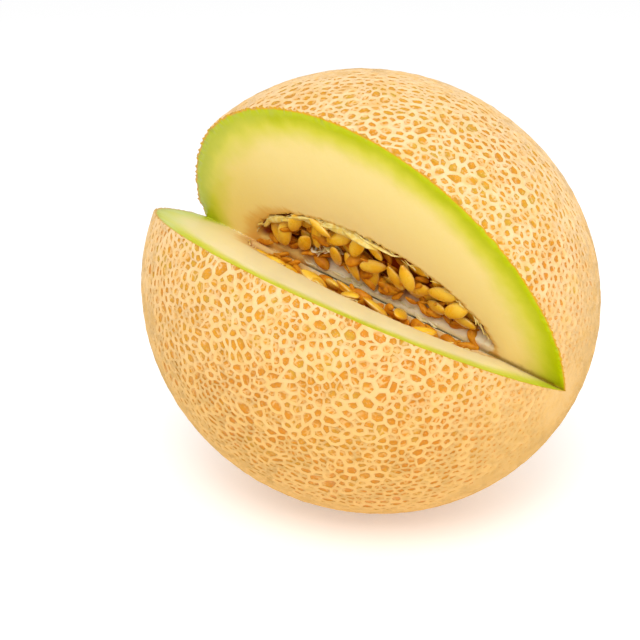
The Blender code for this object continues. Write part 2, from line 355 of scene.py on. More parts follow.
def net_tree():
    """The rind as a net: points over the fruit, their cells, and a ridge round each cell."""
    tree = bpy.data.node_groups.new("rind net", "GeometryNodeTree")
    for name in ("Length", "Width", "Closest", "Share kept", "Large cell", "Ridge", "Slope",
                 "Height", "Depth", "Patch"):
        add_input(tree, name, "NodeSocketFloat")
    add_input(tree, "Blossom end", "NodeSocketVector")
    add_input(tree, "Seed", "NodeSocketInt")
    add_input(tree, "Material", "NodeSocketMaterial")
    tree.interface.new_socket(name="Mesh", in_out="OUTPUT", socket_type="NodeSocketGeometry")
    given = add_node(tree, "NodeGroupInput").outputs

    half_length = add_node(
        tree, "ShaderNodeMath", {0: given["Length"], 1: 0.5}, operation="MULTIPLY"
    ).outputs[0]
    half_width = add_node(
        tree, "ShaderNodeMath", {0: given["Width"], 1: 0.5}, operation="MULTIPLY"
    ).outputs[0]
    semi_axes = add_node(
        tree, "ShaderNodeCombineXYZ", {0: half_length, 1: half_width, 2: half_width}
    ).outputs[0]
    tries_per_area = 1.2e6
    shortest_side = 0.42 * MM
    longest_stray = 2.2 * MM
    ball = add_node(
        tree, "GeometryNodeMeshIcoSphere", {"Radius": 1.0, "Subdivisions": 6}
    ).outputs["Mesh"]
    fruit = add_node(
        tree, "GeometryNodeTransform", {"Geometry": ball, "Scale": semi_axes}
    ).outputs[0]

    # The cells crowd towards the blossom end.
    position = add_node(tree, "GeometryNodeInputPosition").outputs[0]
    apart = add_node(
        tree, "ShaderNodeVectorMath", {0: position, 1: given["Blossom end"]}, operation="DISTANCE"
    ).outputs["Value"]
    wander = add_node(
        tree, "ShaderNodeTexNoise", {"Vector": position, "Scale": 45.0, "Detail": 1.0}
    ).outputs[0]
    drift = add_node(
        tree, "ShaderNodeMath", {0: wander, 1: 0.02, 2: apart}, operation="MULTIPLY_ADD"
    ).outputs[0]
    reach = add_node(
        tree, "ShaderNodeMath", {0: given["Patch"], 1: 2.1}, operation="MULTIPLY"
    ).outputs[0]
    kept = add_node(
        tree, "ShaderNodeMapRange",
        {"Value": drift, "From Min": given["Patch"], "From Max": reach,
         "To Min": 1.0, "To Max": given["Share kept"]},
        interpolation_type="SMOOTHSTEP",
    ).outputs[0]
    points = add_node(
        tree, "GeometryNodeDistributePointsOnFaces",
        {"Mesh": fruit, "Distance Min": given["Closest"], "Density Max": tries_per_area,
         "Density Factor": kept, "Seed": given["Seed"]},
        distribute_method="POISSON",
    ).outputs["Points"]

    hull = add_node(tree, "GeometryNodeConvexHull", {0: points}).outputs[0]
    cells = add_node(tree, "GeometryNodeDualMesh", {0: hull}).outputs[0]
    cells = project_to_fruit(tree, cells, semi_axes)
    cells = add_node(
        tree, "GeometryNodeMergeByDistance", {"Geometry": cells, "Distance": shortest_side}
    ).outputs[0]

    # Each corner strays a little, so that no ridge runs straight.
    stray_field = add_node(
        tree, "ShaderNodeTexNoise",
        {"Vector": add_node(tree, "GeometryNodeInputPosition").outputs[0], "Scale": 420.0},
    ).outputs["Color"]
    centred = add_node(
        tree, "ShaderNodeVectorMath", {0: stray_field, 1: (0.5, 0.5, 0.5)}, operation="SUBTRACT"
    ).outputs[0]
    stray = add_node(
        tree, "ShaderNodeVectorMath", {0: centred, "Scale": longest_stray}, operation="SCALE"
    ).outputs[0]
    cells = add_node(tree, "GeometryNodeSetPosition", {"Geometry": cells, "Offset": stray}).outputs[0]
    cells = add_node(
        tree, "GeometryNodeStoreNamedAttribute",
        {"Geometry": cells, "Name": "net", "Value": 1.0}, data_type="FLOAT", domain="POINT",
    ).outputs[0]

    # A ridge's top is half on each of its two cells, and its width varies from cell to cell.
    width = add_node(
        tree, "FunctionNodeRandomValue", {2: 0.7, 3: 1.4, "Seed": 3}, data_type="FLOAT"
    ).outputs[1]
    area = add_node(tree, "GeometryNodeInputMeshFaceArea").outputs[0]
    large = add_node(
        tree, "FunctionNodeCompare", {0: area, 1: given["Large cell"]}, operation="GREATER_THAN"
    ).outputs[0]
    top = add_node(
        tree, "ShaderNodeMath", {0: given["Ridge"], 1: width}, operation="MULTIPLY"
    ).outputs[0]
    cells, rest = inset_faces(tree, cells, large, top, 0.9)
    slope = add_node(
        tree, "ShaderNodeMath", {0: given["Slope"], 1: width}, operation="MULTIPLY"
    ).outputs[0]
    cells, rest = inset_faces(tree, cells, rest, slope, 0.0)
    cells = project_to_fruit(tree, cells, semi_axes)

    # Ridges stand up and skin lies low, along the fruit's own normal.
    level = add_node(tree, "GeometryNodeInputNamedAttribute", {"Name": "net"}, data_type="FLOAT")
    low = add_node(
        tree, "ShaderNodeMath", {0: given["Depth"], 1: -1.0}, operation="MULTIPLY"
    ).outputs[0]
    rise = add_node(
        tree, "ShaderNodeMapRange",
        {"Value": level.outputs[0], "To Min": low, "To Max": given["Height"]},
    ).outputs[0]
    rough = add_node(
        tree, "ShaderNodeTexNoise",
        {"Vector": add_node(tree, "GeometryNodeInputPosition").outputs[0], "Scale": 260.0},
    ).outputs[0]
    uneven = add_node(
        tree, "ShaderNodeMapRange", {"Value": rough, "From Min": 0.3, "From Max": 0.7,
                                     "To Min": 0.6, "To Max": 1.35}
    ).outputs[0]
    lift = add_node(tree, "ShaderNodeMath", {0: rise, 1: uneven}, operation="MULTIPLY").outputs[0]
    here = add_node(tree, "GeometryNodeInputPosition").outputs[0]
    apart = add_node(
        tree, "ShaderNodeVectorMath", {0: here, 1: given["Blossom end"]}, operation="DISTANCE"
    ).outputs["Value"]
    flat = add_node(
        tree, "ShaderNodeMapRange",
        {"Value": apart, "From Min": 6.0 * MM, "From Max": 16.0 * MM, "To Min": 0.25, "To Max": 1.0},
    ).outputs[0]
    lift = add_node(tree, "ShaderNodeMath", {0: lift, 1: flat}, operation="MULTIPLY").outputs[0]
    normal = add_node(tree, "GeometryNodeInputPosition").outputs[0]
    for _ in range(2):
        normal = add_node(
            tree, "ShaderNodeVectorMath", {0: normal, 1: semi_axes}, operation="DIVIDE"
        ).outputs[0]
    normal = add_node(tree, "ShaderNodeVectorMath", {0: normal}, operation="NORMALIZE").outputs[0]
    offset = add_node(
        tree, "ShaderNodeVectorMath", {0: normal, "Scale": lift}, operation="SCALE"
    ).outputs[0]
    cells = add_node(tree, "GeometryNodeSetPosition", {"Geometry": cells, "Offset": offset}).outputs[0]
    cells = add_node(tree, "GeometryNodeSetShadeSmooth", {"Geometry": cells}).outputs[0]
    cells = add_node(tree, "GeometryNodeRealizeInstances", {0: cells}).outputs[0]
    cells = add_node(
        tree, "GeometryNodeSetMaterial", {"Geometry": cells, "Material": given["Material"]}
    ).outputs[0]
    add_node(tree, "NodeGroupOutput", {0: cells})
    return tree


def blossom_end(shape):
    """The blossom end's scar, a little below the tip of the wedge, in the core frame."""
    lean = math.radians(2.5)
    return Vector((
        shape.fruit_length / 2.0 * math.cos(lean),
        -shape.fruit_width / 2.0 * math.sin(lean) * 0.6,
        -shape.fruit_width / 2.0 * math.sin(lean),
    ))


def stem_end(shape):
    """The stem's scar, at the other end of the core."""
    return Vector((-shape.fruit_length / 2.0, 0.0, 0.0))


def sink_stem_scar(bm, shape):
    """Dish the stem's scar and raise a low cork ring round it."""
    stem = stem_end(shape)
    scar_reach = 12.0 * MM
    dish_depth, dish_edge, dish_floor = 1.5 * MM, 6.0 * MM, 3.0 * MM
    ring_height, ring_radius, ring_width = 0.6 * MM, 7.0 * MM, 1.3 * MM
    near = [
        edge for edge in bm.edges
        if all((vert.co - stem).length < scar_reach - 1.0 * MM for vert in edge.verts)
    ]
    bmesh.ops.subdivide_edges(bm, edges=near, cuts=1, use_grid_fill=True)
    for vert in bm.verts:
        away = (vert.co - stem).length
        if away < scar_reach:
            ripple = 1.0 + 0.35 * noise.noise(vert.co / (1.6 * MM))
            dish = dish_depth * smooth_step(dish_edge, dish_floor, away)
            ring = ring_height * math.exp(-((away - ring_radius) / ring_width) ** 2)
            vert.co.x += (dish - ring) * ripple


# The cut faces


def cut_wedge(bm, shape):
    """Cut the wedge out of the net, which lies in the core frame, and open it there."""
    frames = [
        face_frame(shape, shape.wedge_low_angle, -1),
        face_frame(shape, shape.wedge_high_angle, 1),
    ]
    margin = 3.0 * MM
    for placing in frames:
        inverse = placing.inverted()
        front = [
            face for face in bm.faces
            if all((other.inverted() @ face.calc_center_median()).z > -margin for other in frames)
        ]
        parts = set(front)
        for face in front:
            parts.update(face.edges)
            parts.update(face.verts)
        bmesh.ops.bisect_plane(
            bm, geom=list(parts), dist=WELD, plane_co=placing.translation,
            plane_no=placing.col[2].to_3d(),
        )
    inverses = [placing.inverted() for placing in frames]
    inside = [
        face for face in bm.faces
        if all((inverse @ face.calc_center_median()).z > 1e-7 for inverse in inverses)
    ]
    bmesh.ops.delete(bm, geom=inside, context="FACES")
    return frames


def cavity_share(shape, x, y):
    """1 on the cavity's outline in a cut face, less inside it."""
    along = (x - shape.cavity_shift) / (shape.cavity_length / 2.0)
    across = y / (shape.cavity_width / 2.0)
    return math.hypot(along, across)


def filling_points(shape, sign, draw):
    """Points inside one cut face, as (x, y), on a grid that is finer round the cavity."""
    half_length = shape.fruit_length / 2.0
    half_width = shape.fruit_width / 2.0
    rim_gap = 1.8 * MM
    step = 0.9 * MM
    row_step = step * 0.866
    points = []
    for row in range(1, int(half_width / row_step)):
        y = row * row_step
        if y < 1.2 * MM:
            continue
        for column in range(int(2.0 * half_length / step)):
            x = -half_length + (column + 0.5 * (row % 2)) * step
            if math.hypot(x / (half_length - rim_gap), y / (half_width - rim_gap)) > 1.0:
                continue
            coarse = not 0.80 < cavity_share(shape, x * sign, y) < 1.12
            if coarse and (row % 2 or (column + (row // 2) % 2) % 2):
                continue
            shake = step * (0.45 if coarse else 0.2)
            points.append((x + draw.uniform(-shake, shake), y + draw.uniform(-shake, shake)))

    # Two straight rows run beside the wedge's edge.
    spacing = 1.0 * MM
    row_start = -half_length + 3.0 * MM
    count = int(2.0 * (half_length - 3.0 * MM) / spacing)
    for row, y in enumerate((0.22 * MM, 0.75 * MM)):
        for index in range(count):
            points.append((row_start + (index + 0.5 * row) * spacing, y))
    return points


def torn_edge(shape, x, y, salt):
    """How far the cavity's torn outline strays at this place, as a share of its size."""
    angle = math.atan2(y, x - shape.cavity_shift)
    coarse = noise.noise(Vector((angle * 9.0, salt, 0.0)))
    fine = noise.noise(Vector((angle * 34.0, salt, 3.0)))
    return 0.030 * coarse + 0.022 * fine


def hollow_share(shape, x, y, salt):
    """0 on the cut face, 1 on the bed of the seed hollow."""
    share = cavity_share(shape, x, y) + torn_edge(shape, x, y, salt)
    wall_share = 0.055
    wall = smooth_step(0.0, wall_share, 1.0 - share)
    inner = smooth_step(shape.core_band - 0.4 * MM, shape.core_band + 1.4 * MM, y)
    return min(wall, inner)


def rim_chain(bm, inverse):
    """The net's open edge on one cut plane, in order from one tip of the wedge to the other."""
    beside = {}
    for edge in bm.edges:
        if edge.is_boundary:
            ends = [inverse @ vert.co for vert in edge.verts]
            if all(abs(end.z) < 2.0 * WELD and end.y > -2.0 * WELD for end in ends):
                for vert in edge.verts:
                    beside.setdefault(vert, []).append(edge)
    tips = [vert for vert, edges in beside.items() if len(edges) == 1]
    tips.sort(key=lambda vert: (inverse @ vert.co).x)
    if len(tips) != 2:
        raise RuntimeError("the cut through the net has %d open ends" % len(tips))
    chain = [tips[0]]
    edge = beside[tips[0]][0]
    while edge is not None:
        chain.append(edge.other_vert(chain[-1]))
        onward = [other for other in beside[chain[-1]] if other is not edge]
        edge = onward[0] if onward else None
    if chain[-1] is not tips[1] or len(chain) != len(beside):
        raise RuntimeError("the cut through the net is not one chain")
    return chain


def fill_cut_face(bm, shape, placing, sign, salt, layers):
    """Fill one cut face between the net's edge and the core, with its seed hollow."""
    draw = random.Random(salt)
    inverse = placing.inverted()
    verts = rim_chain(bm, inverse)
    coords = [(inverse @ vert.co).to_2d() for vert in verts]
    first, last = coords[0].x, coords[-1].x
    steps = 150
    for index in range(1, steps):
        coords.append(Vector((last + (first - last) * index / steps, 0.0)))
    loop = list(range(len(coords)))[::-1]
    coords += [Vector(point) for point in filling_points(shape, sign, draw)]

    found, _, faces, origin, _, owner = geometry.delaunay_2d_cdt(
        coords, [], [loop], 1, 1e-8, True
    )
    made = []
    for index, point in enumerate(found):
        source = min(origin[index]) if origin[index] else None
        if source is not None and source < len(verts):
            made.append(verts[source])
            continue
        made.append(shape_flesh(bm, shape, placing, sign, salt, point, layers))
    for face, owners in zip(faces, owner):
        if not owners:
            continue
        corners = [made[index] for index in face]
        if len(set(corners)) == 3:
            new = bm.faces.new(corners)
            new.material_index = 1
            new.smooth = True
    for vert in verts:
        vert[layers["depth"]] = 0.0


def shape_flesh(bm, shape, placing, sign, salt, point, layers):
    """One point of a cut face, sunk where the hollow or the slit is, with its attributes."""
    x, y = point[0] * sign, point[1]
    hollow = hollow_share(shape, x, y, salt)
    inside = cavity_share(shape, x, y)
    spot = Vector((x, y, salt)) / (3.2 * MM)
    lumps = noise.noise(spot) + 0.5 * noise.noise(spot * 2.3)
    z = -hollow * (shape.hollow_depth - 0.4 * MM) + hollow * lumps * 0.9 * MM
    on_edge = abs(y) < 1e-7
    slit_half = shape.slit_length / 2.0
    slit = smooth_step(slit_half, slit_half - 9.0 * MM, abs(x - shape.cavity_shift))
    z -= (1.0 - hollow) * 0.10 * MM * (1.0 + noise.noise(Vector((x, y, salt)) / (1.4 * MM)))
    place = placing @ Vector((point[0], y, 0.0 if on_edge else z))
    if on_edge:
        middle = (shape.wedge_low_angle + shape.wedge_high_angle) / 2.0
        place = place - outward_direction(middle) * (shape.slit_depth * slit + 0.2 * MM)
    vert = bm.verts.new(place)
    half_length = shape.fruit_length / 2.0
    half_width = shape.fruit_width / 2.0
    radius = math.hypot(place.x / half_length, math.hypot(place.y, place.z) / half_width)
    vert[layers["depth"]] = (1.0 - radius) * half_width
    vert[layers["hollow"]] = hollow
    # Marks the low cut face, which faces up and is painted lighter.
    vert[layers["upward"]] = 0.0 if sign > 0 else 1.0
    share_along = (x - shape.cavity_shift) / (shape.cavity_length / 2.0)
    reach = 1.07 + 0.17 * smooth_step(-0.3, -1.0, share_along)
    vert[layers["rim"]] = smooth_step(reach, 0.99, inside + torn_edge(shape, x, y, salt) * 1.5)
    band_width = shape.core_band + (0.8 if sign > 0 else -1.1) * MM
    band = smooth_step(band_width + 0.8 * MM, band_width - 0.8 * MM, y)
    ragged = 0.10 * noise.noise(Vector((x, y, salt)) / (2.0 * MM))
    band *= smooth_step(1.04, 0.90, share_along + ragged)
    vert[layers["core"]] = band * smooth_step(-0.62, -0.42, share_along + ragged)
    # Painted shade in the crease along the wedge's edge, towards the blossom end.
    near_edge = 1.0 if on_edge else smooth_step(2.2 * MM, 0.0, y)
    vert[layers["seam"]] = near_edge * smooth_step(0.70, 0.95, share_along) * 0.85
    # Painted shade down the knife slit's wall.
    near_slit = 1.0 if on_edge else 0.75 * smooth_step(0.6 * MM, 0.2 * MM, y)
    vert[layers["slit"]] = slit * near_slit * smooth_step(-0.60, -0.35, share_along)
    return vert


# Torn tissue


def tissue_tree():
    """Small torn strips along an arc of an ellipse, each turned and bent its own way."""
    tree = bpy.data.node_groups.new("torn tissue", "GeometryNodeTree")
    for name in ("Half length", "Half width", "From", "To", "Strip width", "Strip thickness",
                 "Strip length", "Swing", "Stray", "Sink", "Curl"):
        add_input(tree, name, "NodeSocketFloat")
    add_input(tree, "Count", "NodeSocketInt")
    add_input(tree, "Seed", "NodeSocketInt")
    add_input(tree, "Material", "NodeSocketMaterial")
    tree.interface.new_socket(name="Mesh", in_out="OUTPUT", socket_type="NodeSocketGeometry")
    given = add_node(tree, "NodeGroupInput").outputs

    circle = add_node(
        tree, "GeometryNodeCurvePrimitiveCircle", {"Resolution": 128, "Radius": 1.0}
    ).outputs[0]
    size = add_node(
        tree, "ShaderNodeCombineXYZ", {0: given["Half length"], 1: given["Half width"], 2: 1.0}
    ).outputs[0]
    outline = add_node(tree, "GeometryNodeTransform", {"Geometry": circle, "Scale": size}).outputs[0]
    arc = add_node(
        tree, "GeometryNodeTrimCurve", {0: outline, 2: given["From"], 3: given["To"]}, mode="FACTOR"
    ).outputs[0]
    spots = add_node(
        tree, "GeometryNodeCurveToPoints", {"Curve": arc, "Count": given["Count"]}, mode="COUNT"
    )
    minus = add_node(
        tree, "ShaderNodeMath", {0: given["Stray"], 1: -1.0}, operation="MULTIPLY"
    ).outputs[0]
    lowest = add_node(
        tree, "ShaderNodeMath", {0: given["Sink"], 1: -1.0}, operation="MULTIPLY"
    ).outputs[0]
    low = add_node(tree, "ShaderNodeCombineXYZ", {0: minus, 1: minus, 2: lowest}).outputs[0]
    high = add_node(
        tree, "ShaderNodeCombineXYZ", {0: given["Stray"], 1: given["Stray"], 2: 0.0}
    ).outputs[0]
    stray = add_node(
        tree, "FunctionNodeRandomValue", {0: low, 1: high, "Seed": given["Seed"]},
        data_type="FLOAT_VECTOR",
    ).outputs[0]
    points = add_node(
        tree, "GeometryNodeSetPosition", {"Geometry": spots.outputs["Points"], "Offset": stray}
    ).outputs[0]

    ball = add_node(
        tree, "GeometryNodeMeshUVSphere", {"Segments": 8, "Rings": 12, "Radius": 0.5}
    ).outputs["Mesh"]
    strip_size = add_node(
        tree, "ShaderNodeCombineXYZ",
        {0: given["Strip width"], 1: given["Strip thickness"], 2: given["Strip length"]},
    ).outputs[0]
    strip = add_node(tree, "GeometryNodeTransform", {"Geometry": ball, "Scale": strip_size}).outputs[0]
    along = add_node(
        tree, "FunctionNodeAlignRotationToVector", {"Vector": spots.outputs["Tangent"]}, axis="Z"
    ).outputs[0]
    minus_swing = add_node(
        tree, "ShaderNodeMath", {0: given["Swing"], 1: -1.0}, operation="MULTIPLY"
    ).outputs[0]
    least = add_node(
        tree, "ShaderNodeCombineXYZ", {0: minus_swing, 1: minus_swing, 2: -math.pi}
    ).outputs[0]
    most = add_node(
        tree, "ShaderNodeCombineXYZ", {0: given["Swing"], 1: given["Swing"], 2: math.pi}
    ).outputs[0]
    swing = add_node(
        tree, "FunctionNodeRandomValue", {0: least, 1: most, "Seed": 17}, data_type="FLOAT_VECTOR"
    ).outputs[0]
    turned = add_node(
        tree, "FunctionNodeRotateRotation",
        {0: along, 1: add_node(tree, "FunctionNodeEulerToRotation", {0: swing}).outputs[0]},
        rotation_space="LOCAL",
    ).outputs[0]
    grown = add_node(
        tree, "FunctionNodeRandomValue", {2: 0.5, 3: 1.25, "Seed": 29}, data_type="FLOAT"
    ).outputs[1]
    strips = add_node(
        tree, "GeometryNodeInstanceOnPoints",
        {"Points": points, "Instance": strip, "Rotation": turned, "Scale": grown},
    ).outputs[0]
    strips = add_node(tree, "GeometryNodeRealizeInstances", {0: strips}).outputs[0]
    place = add_node(tree, "GeometryNodeInputPosition").outputs[0]
    curl = add_node(tree, "ShaderNodeTexNoise", {"Vector": place, "Scale": 190.0, "Detail": 1.0})
    curl = add_node(
        tree, "ShaderNodeVectorMath", {0: curl.outputs["Color"], 1: (0.5, 0.5, 0.5)},
        operation="SUBTRACT",
    ).outputs[0]
    curl = add_node(
        tree, "ShaderNodeVectorMath", {0: curl, "Scale": given["Curl"]}, operation="SCALE"
    ).outputs[0]
    strips = add_node(
        tree, "GeometryNodeSetPosition", {"Geometry": strips, "Offset": curl}
    ).outputs[0]
    strips = add_node(tree, "GeometryNodeSetShadeSmooth", {"Geometry": strips}).outputs[0]
    strips = add_node(
        tree, "GeometryNodeSetMaterial", {"Geometry": strips, "Material": given["Material"]}
    ).outputs[0]
    add_node(tree, "NodeGroupOutput", {0: strips})
    return tree


# Materials


def new_material(name, **values):
    """An empty Principled material with these values on its shader, its tree and its shader."""
    material = bpy.data.materials.new(name)
    material.use_nodes = True
    tree = material.node_tree
    shader = tree.nodes["Principled BSDF"]
    for socket, value in values.items():
        shader.inputs[socket.replace("_", " ")].default_value = value
    return material, tree, shader


def palette(colours):
    """The colours by name, as plain RGBA values."""
    return {name: tuple(getattr(colours, name)) for name in colours.__annotations__}


def lay_over(tree, base, over, value, low, high, most=1.0):
    """Lay one colour over another, more of it as a value goes from low to high."""
    share = add_node(
        tree, "ShaderNodeMapRange",
        {"Value": value, "From Min": low, "From Max": high, "To Max": most},
        interpolation_type="SMOOTHSTEP",
    ).outputs[0]
    mix = add_node(tree, "ShaderNodeMix", {0: share, 6: base, 7: over}, data_type="RGBA")
    return mix.outputs[2]


def object_noise(tree, size, detail=3.0, roughness=0.5):
    """Noise on Object coordinates whose features are about size metres across."""
    place = add_node(tree, "ShaderNodeTexCoord").outputs["Object"]
    return add_node(
        tree, "ShaderNodeTexNoise",
        {"Vector": place, "Scale": 1.0 / size, "Detail": detail, "Roughness": roughness},
    ).outputs[0]


def raise_grain(tree, shader, grain, strength, height):
    """Raise the surface a little where a pattern is high."""
    bump = add_node(
        tree, "ShaderNodeBump", {"Strength": strength, "Distance": height, "Height": grain}
    ).outputs[0]
    tree.links.new(bump, shader.inputs["Normal"])


def vary_gloss(tree, shader, film, wettest, driest):
    """Let the roughness drift with a wet film over the surface."""
    rough = add_node(
        tree, "ShaderNodeMapRange",
        {"Value": film, "From Min": 0.3, "From Max": 0.7, "To Min": wettest, "To Max": driest},
    ).outputs[0]
    tree.links.new(rough, shader.inputs["Roughness"])


def rind_material(colours):
    """Corky net over ripe skin: dry cork ridges that scatter light, waxy orange-yellow skin."""
    material, tree, shader = new_material("netted melon rind", Specular_IOR_Level=0.3)
    paint = palette(colours)
    drawn = {
        name: add_node(tree, "ShaderNodeAttribute", attribute_name=name).outputs["Fac"]
        for name in ("net", "cork", "near", "stem")
    }

    # Cork covers the ridges with a frayed edge, and spreads over the skin near the blossom end.
    fray = object_noise(tree, 1.1 * MM, 4.0, 0.6)
    frayed = add_node(
        tree, "ShaderNodeMath", {0: fray, 1: 0.55, 2: drawn["net"]}, operation="MULTIPLY_ADD"
    ).outputs[0]
    spread = add_node(
        tree, "ShaderNodeMath", {0: drawn["near"], 1: 0.27, 2: frayed}, operation="MULTIPLY_ADD"
    ).outputs[0]
    ridge = add_node(
        tree, "ShaderNodeMapRange", {"Value": spread, "From Min": 0.43, "From Max": 0.62},
        interpolation_type="SMOOTHSTEP",
    ).outputs[0]

    # Finer cork lines cross some of the cells.
    place = add_node(tree, "ShaderNodeTexCoord").outputs["Object"]
    line = add_node(
        tree, "ShaderNodeTexVoronoi", {"Vector": place, "Scale": 1.0 / (2.1 * MM)},
        feature="DISTANCE_TO_EDGE",
    ).outputs["Distance"]
    line = add_node(
        tree, "ShaderNodeMapRange",
        {"Value": line, "From Min": 0.05, "From Max": 0.19, "To Min": 0.75, "To Max": 0.0},
        interpolation_type="SMOOTHSTEP",
    ).outputs[0]
    crossed = add_node(
        tree, "ShaderNodeMapRange",
        {"Value": object_noise(tree, 4.5 * MM, 2.0), "From Min": 0.46, "From Max": 0.56},
        interpolation_type="SMOOTHSTEP",
    ).outputs[0]
    line = add_node(
        tree, "ShaderNodeMath", {0: line, 1: crossed}, operation="MULTIPLY"
    ).outputs[0]
    for other in (line, drawn["cork"]):
        ridge = add_node(
            tree, "ShaderNodeMath", {0: ridge, 1: other}, operation="MAXIMUM"
        ).outputs[0]

    height = add_node(tree, "ShaderNodeSeparateXYZ", {0: place}).outputs["Z"]
    top, foot = 125.0 * MM, 35.0 * MM
    ripeness = object_noise(tree, 34.0 * MM, 2.0)
    skin = lay_over(tree, paint["skin"], paint["skin_ripe"], ripeness, 0.36, 0.64)
    skin = lay_over(tree, skin, paint["skin_pale"], object_noise(tree, 7.0 * MM, 2.0), 0.48, 0.72)
    skin = lay_over(tree, skin, paint["cork"], object_noise(tree, 0.55 * MM, 2.0), 0.56, 0.66, 0.45)
    # Painted shade and bounce light: darker, more orange skin towards the ground.
    skin = lay_over(tree, skin, paint["skin_low"], height, top, foot, 0.51)
    # Painted shade in the crease at each ridge's foot, over the skin's own olive there.
    skin = lay_over(tree, skin, paint["skin_foot"], frayed, 0.22, 0.44, 0.50)
    patch = object_noise(tree, 5.0 * MM, 4.0, 0.6)
    cork = lay_over(tree, paint["cork"], paint["cork_shade"], patch, 0.40, 0.68, 0.75)
    # Painted shade: browner cork towards the ground.
    cork = lay_over(tree, cork, paint["cork_low"], height, top, foot, 0.85)
    rind = add_node(
        tree, "ShaderNodeMix", {0: ridge, 6: skin, 7: cork}, data_type="RGBA"
    ).outputs[2]
    scar = lay_over(tree, paint["scar"], paint["cork_shade"], fray, 0.35, 0.65)
    rind = lay_over(tree, rind, scar, drawn["stem"], 0.0, 1.0, 0.85)
    tree.links.new(rind, shader.inputs["Base Color"])

    # Waxy skin is smoother than dry cork.
    rough = add_node(
        tree, "ShaderNodeMapRange", {"Value": ridge, "To Min": 0.42, "To Max": 0.74},
        interpolation_type="SMOOTHSTEP",
    ).outputs[0]
    tree.links.new(rough, shader.inputs["Roughness"])
    raise_grain(tree, shader, object_noise(tree, 0.5 * MM, 4.0, 0.65), 0.35, 0.3 * MM)
    return material


def flesh_material(colours):
    """Wet cut flesh: green under the rind, cream within, stained at the cavity, a brown bed deepened
    with painted shade, painted shade along the wedge's edge and in the knife slit, and painted light on
    the upward low face.
    """
    material, tree, shader = new_material(
        "cut melon flesh", Specular_IOR_Level=0.2, Subsurface_Weight=0.18,
        Subsurface_Radius=(1.0, 0.8, 0.3), Subsurface_Scale=4.0 * MM,
    )
    paint = palette(colours)
    drawn = {
        name: add_node(tree, "ShaderNodeAttribute", attribute_name=name).outputs["Fac"]
        for name in ("depth", "hollow", "upward", "rim", "core", "slit", "seam")
    }

    # The bands wander a little, and are wider towards the ends and narrower on the low face.
    drift = object_noise(tree, 9.0 * MM)
    wander = 1.3 * MM
    wobble = add_node(
        tree, "ShaderNodeMapRange",
        {"Value": drift, "From Min": 0.3, "From Max": 0.7, "To Min": -wander, "To Max": wander},
    ).outputs[0]
    place = add_node(tree, "ShaderNodeTexCoord").outputs["Object"]
    along = add_node(tree, "ShaderNodeSeparateXYZ", {0: place}).outputs["X"]
    end = add_node(tree, "ShaderNodeMath", {0: along}, operation="ABSOLUTE").outputs[0]
    wider = add_node(
        tree, "ShaderNodeMapRange",
        {"Value": end, "From Min": 30.0 * MM, "From Max": 74.0 * MM, "To Min": 1.0, "To Max": 0.92},
        interpolation_type="SMOOTHSTEP",
    ).outputs[0]
    narrower = add_node(
        tree, "ShaderNodeMapRange", {"Value": drawn["upward"], "To Min": 1.0, "To Max": 1.25},
        interpolation_type="SMOOTHSTEP",
    ).outputs[0]
    stretch = add_node(
        tree, "ShaderNodeMath", {0: wider, 1: narrower}, operation="MULTIPLY"
    ).outputs[0]
    depth = add_node(
        tree, "ShaderNodeMath", {0: drawn["depth"], 1: stretch, 2: wobble}, operation="MULTIPLY_ADD"
    ).outputs[0]

    flesh = lay_over(tree, paint["flesh"], paint["flesh_inner"], depth, 22.0 * MM, 44.0 * MM, 0.8)
    grain = object_noise(tree, 1.3 * MM, 4.0, 0.6)
    flesh = lay_over(tree, flesh, paint["core"], grain, 0.35, 0.75, 0.08)
    # Painted shade and reflected light: a deeper yellow towards the stem end.
    flesh = lay_over(tree, flesh, paint["golden"], along, -15.0 * MM, -65.0 * MM, 0.275)
    # Painted light: the upward low cut face is painted paler, and its green rim lighter.
    flesh = lay_over(tree, flesh, paint["upward"], drawn["upward"], 0.0, 1.0, 0.75)
    green = lay_over(tree, paint["green"], paint["green_pale"], depth, 2.0 * MM, 8.5 * MM)
    green = lay_over(tree, green, paint["green_upward"], drawn["upward"], 0.0, 1.0, 0.55)
    colour = lay_over(tree, green, flesh, depth, 5.5 * MM, 17.0 * MM)
    colour = lay_over(tree, colour, paint["skin"], drawn["depth"], 0.9 * MM, 0.25 * MM, 0.85)
    colour = lay_over(tree, colour, paint["stain"], drawn["rim"], 0.25, 1.0, 0.62)
    mottle = object_noise(tree, 2.6 * MM)
    # Painted shade: the hollow's bed is a dark red-brown, the wet tissue's colour deepened as shade
    # between the seeds.
    bed = lay_over(tree, paint["bed"], paint["stain"], mottle, 0.40, 0.70, 0.55)
    colour = lay_over(tree, colour, bed, drawn["hollow"], 0.08, 0.5)
    colour = lay_over(tree, colour, paint["core"], drawn["core"], 0.2, 0.8, 0.92)
    # Painted shade: dark olive along the wedge's edge and near-black down the knife slit.
    for name in ("seam", "slit"):
        colour = add_node(
            tree, "ShaderNodeMix", {0: drawn[name], 6: colour, 7: paint[name]}, data_type="RGBA"
        ).outputs[2]
    tree.links.new(colour, shader.inputs["Base Color"])
    vary_gloss(tree, shader, drift, 0.28, 0.42)
    raise_grain(tree, shader, object_noise(tree, 0.8 * MM, 3.0, 0.6), 0.12, 0.3 * MM)
    return material


